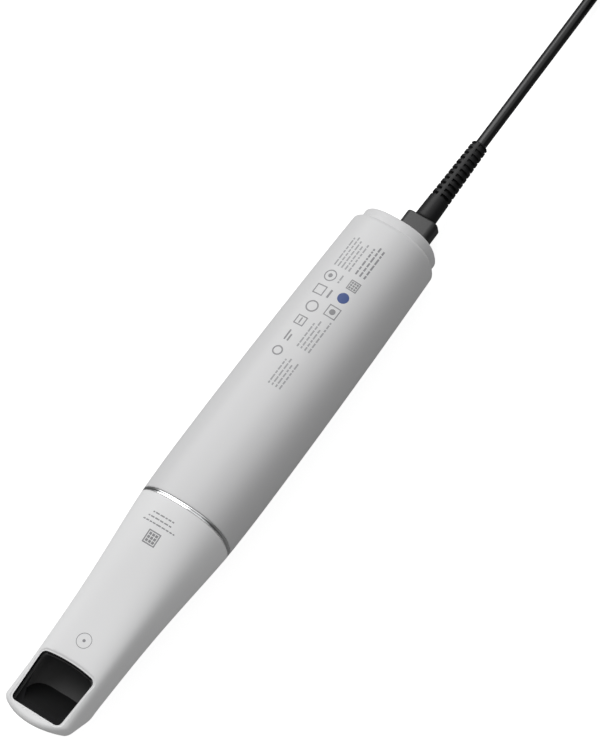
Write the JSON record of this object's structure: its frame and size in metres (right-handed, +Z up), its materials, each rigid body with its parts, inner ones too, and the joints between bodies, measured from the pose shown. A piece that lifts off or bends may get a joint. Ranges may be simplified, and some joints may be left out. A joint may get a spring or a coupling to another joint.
{
  "type": "intraoral scanner",
  "caption": "Wired hand-held intraoral scanner: slide-on mirror tip with a scan window, barrel housing, scan button, rear plug, slotted strain relief and coiled lead.",
  "frame": {"origin": "on the surface that the scanner lies on, under the middle of its length without the lead", "axes": "+X from the tip's nose towards the cable, +Y across, +Z up out of the scan window's side"},
  "size_m": [0.4033, 0.0649, 0.0333],
  "materials": {
    "tip_white": "smooth satin moulding",
    "liner_black": "fine matt, against stray light",
    "tip_mirror_glass": "front-silvered",
    "ring_polished": "polished",
    "snout_metal": "bead-blasted, anodised",
    "clear_glass": "coated optical glass",
    "seal_rubber": "smooth",
    "body_pearl": "satin paint with a fine pearl",
    "cap_grey": "fine satin",
    "bench_metal": "milled",
    "optics_black": "black anodised",
    "board_green": "solder mask",
    "chip_black": "moulded",
    "pad_grey": "soft",
    "screw_steel": "zinc plated",
    "light_ring": "translucent, frosted",
    "button_grey": "soft-touch",
    "socket_steel": "plated",
    "plug_black": "fine moulded grain",
    "boot_black": "moulded, matt",
    "cord_black": "smooth sheath",
    "tie_black": "woven hook strap"
  },
  "bodies": {
    "handpiece": {"front_ring": "ring_polished", "snout": "snout_metal", "snout_glass": "clear_glass", "projector_lens": "clear_glass", "condenser_lens": "clear_glass", "camera_lens_left": "clear_glass", "camera_lens_right": "clear_glass", "pattern_slide": "clear_glass", "snout_seal": "seal_rubber", "cap_gasket": "seal_rubber", "housing": "body_pearl", "rear_cap": "cap_grey", "optical_bench": "bench_metal", "lens_mount": "bench_metal", "heat_sink": "bench_metal", "heat_block": "bench_metal", "projector_barrel": "optics_black", "projector_box": "optics_black", "camera_barrel_left": "optics_black", "camera_barrel_right": "optics_black", "light_board": "board_green", "camera_board_left": "board_green", "camera_board_right": "board_green", "main_board": "board_green", "button_board": "board_green", "socket_board": "board_green", "processor": "chip_black", "memory_chips": "chip_black", "camera_sensor_left": "chip_black", "camera_sensor_right": "chip_black", "button_switch": "chip_black", "thermal_pad": "pad_grey", "bench_screws": "screw_steel", "board_screws": "screw_steel", "socket_screws": "screw_steel", "button_light": "light_ring", "cable_socket": "socket_steel"},
    "tip": {"tip_shell": "tip_white", "tip_liner": "liner_black", "tip_mirror": "tip_mirror_glass"},
    "button": {"scan_button": "button_grey"},
    "cable": {"cable_plug": "plug_black", "plug_tongue": "socket_steel", "strain_relief": "boot_black", "cord": "cord_black", "cord_coil": "cord_black", "cord_tie": "tie_black", "cord_tail": "cord_black", "connector_body": "plug_black", "connector_shell": "socket_steel"}
  },
  "joints": [
    {"name": "tip_slide", "type": "slide", "parent": "handpiece", "child": "tip", "axis": [-1, 0, 0], "range_m": [0, 0.045]},
    {"name": "button_press", "type": "slide", "parent": "handpiece", "child": "button", "axis": [0, 0, 1], "range_m": [0, 0.0004], "stiffness_N_per_m": 2500, "springref_m": -0.0004},
    {"name": "cable_unplug", "type": "slide", "parent": "handpiece", "child": "cable", "axis": [1, 0, 0], "range_m": [0, 0.012]}
  ]
}
